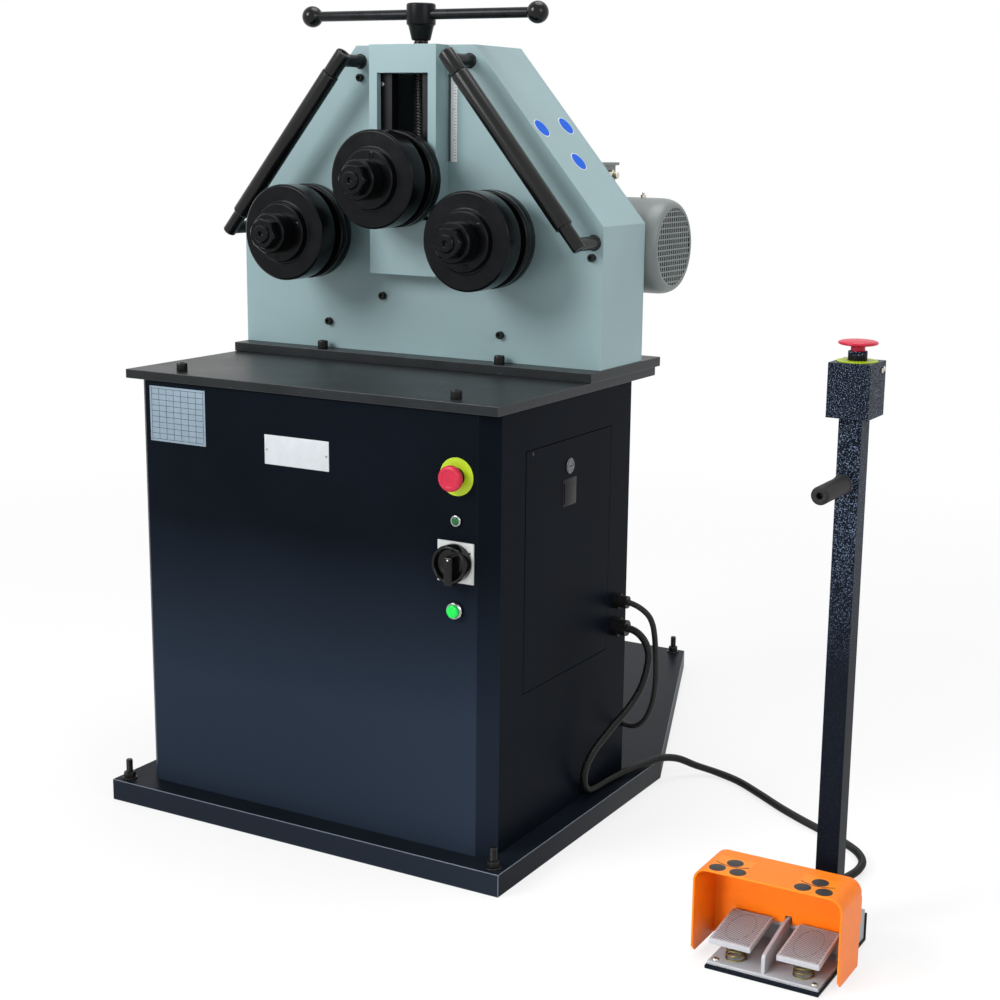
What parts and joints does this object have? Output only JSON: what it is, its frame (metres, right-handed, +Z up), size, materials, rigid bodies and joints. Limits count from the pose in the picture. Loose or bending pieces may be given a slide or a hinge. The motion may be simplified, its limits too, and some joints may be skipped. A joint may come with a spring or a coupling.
{
  "type": "ring roller",
  "caption": "Powered ring and profile roller on a steel cabinet, with a screw-set upper roll, driven lower rolls, guide bars, foot switch and stop pedestal.",
  "frame": {"origin": "on the floor under the middle of the cabinet, on the base tray's cross rib", "axes": "-Y is the front with the rolls and controls, +X is to the operator's right, +Z is up"},
  "size_m": [1.329, 1.27, 1.354],
  "materials": {
    "head_paint": "pale grey-green paint with a fine orange peel",
    "cabinet_paint": "dark blue-black satin paint",
    "dark_steel": "ground and blackened steel plate, scratched",
    "black_oxide": "black oxide, semi-gloss, oiled",
    "ground_steel": "ground steel",
    "bronze": "machined bronze",
    "black_plastic": "moulded black plastic",
    "black_rubber": "matt black rubber",
    "cast_alloy": "cast alloy, silver paint",
    "cast_iron": "painted casting",
    "orange_plastic": "orange moulded plastic, satin",
    "red_plastic": "red moulded plastic",
    "green_plastic": "translucent green plastic",
    "yellow_plastic": "yellow disc, black collar",
    "grey_plastic": "light grey moulded plastic",
    "zinc": "zinc plated wire",
    "chrome": "polished"
  },
  "bodies": {
    "machine": {"base_tray": "cabinet_paint", "cabinet_shell": "cabinet_paint", "table_plate": "dark_steel", "head_plate": "dark_steel", "head_housing": "head_paint", "head_rear_cover": "head_paint", "slide_ways": "dark_steel", "screw_nut": "bronze", "left_bearing": "cast_iron", "right_bearing": "cast_iron", "gearbox_housing": "cast_iron", "motor_housing": "cast_alloy", "fan_cover": "cast_alloy", "left_upper_arm": "black_oxide", "left_guide_bar": "black_oxide", "right_upper_arm": "black_oxide", "right_guide_bar": "black_oxide", "stop_disc": "yellow_plastic", "indicator_lamp": "green_plastic", "selector_plate": "grey_plastic", "start_bezel": "grey_plastic", "switchgear": "grey_plastic", "cable_gland": "black_plastic", "conduit_gland": "black_plastic", "thin_cable": "black_rubber", "foot_conduit": "black_rubber", "pedestal_stand": "cabinet_paint", "post_grip": "black_rubber", "stop_box": "cabinet_paint", "foot_base": "cast_alloy", "foot_hood": "orange_plastic", "left_spring": "zinc", "right_spring": "zinc"},
    "slide": {"slide_block": "ground_steel"},
    "screw": {"lead_screw": "black_oxide", "handle_bar": "black_oxide"},
    "upper_roll": {"upper_roll_shaft": "black_oxide", "upper_roll_front_disc": "black_oxide", "upper_roll_rear_disc": "black_oxide", "upper_roll_nut": "black_oxide"},
    "left_roll": {"left_roll_shaft": "black_oxide", "left_roll_front_disc": "black_oxide", "left_roll_rear_disc": "black_oxide", "left_roll_nut": "black_oxide", "left_gear": "ground_steel"},
    "right_roll": {"right_roll_shaft": "black_oxide", "right_roll_front_disc": "black_oxide", "right_roll_rear_disc": "black_oxide", "right_roll_nut": "black_oxide", "right_gear": "ground_steel"},
    "pinion": {"drive_pinion": "ground_steel"},
    "fan": {"cooling_fan": "black_plastic"},
    "stop": {"stop_button": "red_plastic"},
    "selector": {"selector_knob": "black_plastic"},
    "start": {"start_button": "green_plastic"},
    "door": {"access_door": "cabinet_paint"},
    "lock": {"door_lock": "chrome"},
    "left_foot": {"left_pedal": "cast_alloy"},
    "right_foot": {"right_pedal": "cast_alloy"},
    "palm": {"palm_button": "red_plastic"}
  },
  "joints": [
    {"name": "slide_rise", "type": "slide", "parent": "machine", "child": "slide", "axis": [0, 0, 1], "range_m": [0, 0.105]},
    {"name": "screw_turn", "type": "hinge", "parent": "slide", "child": "screw", "pos_m": [0, 0.111, 1.3], "axis": [0, 0, 1], "range_deg": [0, 6300]},
    {"name": "upper_roll_spin", "type": "hinge", "parent": "slide", "child": "upper_roll", "pos_m": [0, 0, 1.0685], "axis": [0, 1, 0], "continuous": true},
    {"name": "left_roll_spin", "type": "hinge", "parent": "machine", "child": "left_roll", "pos_m": [-0.1795, 0, 0.976], "axis": [0, 1, 0], "continuous": true},
    {"name": "right_roll_spin", "type": "hinge", "parent": "machine", "child": "right_roll", "pos_m": [0.1795, 0, 0.976], "axis": [0, 1, 0], "continuous": true},
    {"name": "pinion_spin", "type": "hinge", "parent": "machine", "child": "pinion", "pos_m": [0, 0.2, 0.87907], "axis": [0, 1, 0], "continuous": true},
    {"name": "fan_spin", "type": "hinge", "parent": "machine", "child": "fan", "pos_m": [0.35, 0.33, 0.95807], "axis": [1, 0, 0], "continuous": true},
    {"name": "stop_press", "type": "slide", "parent": "machine", "child": "stop", "axis": [0, 1, 0], "range_m": [0, 0.005]},
    {"name": "selector_turn", "type": "hinge", "parent": "machine", "child": "selector", "pos_m": [0.2845, -0.24, 0.508], "axis": [0, -1, 0], "range_deg": [-60, 60]},
    {"name": "start_press", "type": "slide", "parent": "machine", "child": "start", "axis": [0, 1, 0], "range_m": [0, 0.004], "stiffness_N_per_m": 400, "springref_m": -0.003},
    {"name": "door_swing", "type": "hinge", "parent": "machine", "child": "door", "pos_m": [0.341, -0.1245, 0.474], "axis": [0, 0, -1], "range_deg": [0, 100]},
    {"name": "lock_turn", "type": "hinge", "parent": "door", "child": "lock", "pos_m": [0.34, 0.012, 0.624], "axis": [1, 0, 0], "range_deg": [0, 90]},
    {"name": "left_pedal_press", "type": "hinge", "parent": "machine", "child": "left_foot", "pos_m": [0.786, -0.217, 0.042], "axis": [1, 0, 0], "range_deg": [0, 10], "stiffness_Nm_per_rad": 12, "springref_deg": -8.59, "deforming": ["left_spring"]},
    {"name": "right_pedal_press", "type": "hinge", "parent": "machine", "child": "right_foot", "pos_m": [0.887, -0.217, 0.042], "axis": [1, 0, 0], "range_deg": [0, 10], "stiffness_Nm_per_rad": 12, "springref_deg": -8.59, "deforming": ["right_spring"]},
    {"name": "palm_press", "type": "slide", "parent": "machine", "child": "palm", "axis": [0, 0, -1], "range_m": [0, 0.005]}
  ],
  "couplings": [
    {"joint": "slide_rise", "follows": "screw_turn", "m_per_rad": 0.00095493},
    {"joint": "right_roll_spin", "follows": "left_roll_spin", "ratio": 1},
    {"joint": "pinion_spin", "follows": "left_roll_spin", "ratio": -1.6842},
    {"joint": "fan_spin", "follows": "left_roll_spin", "ratio": 101.05}
  ]
}
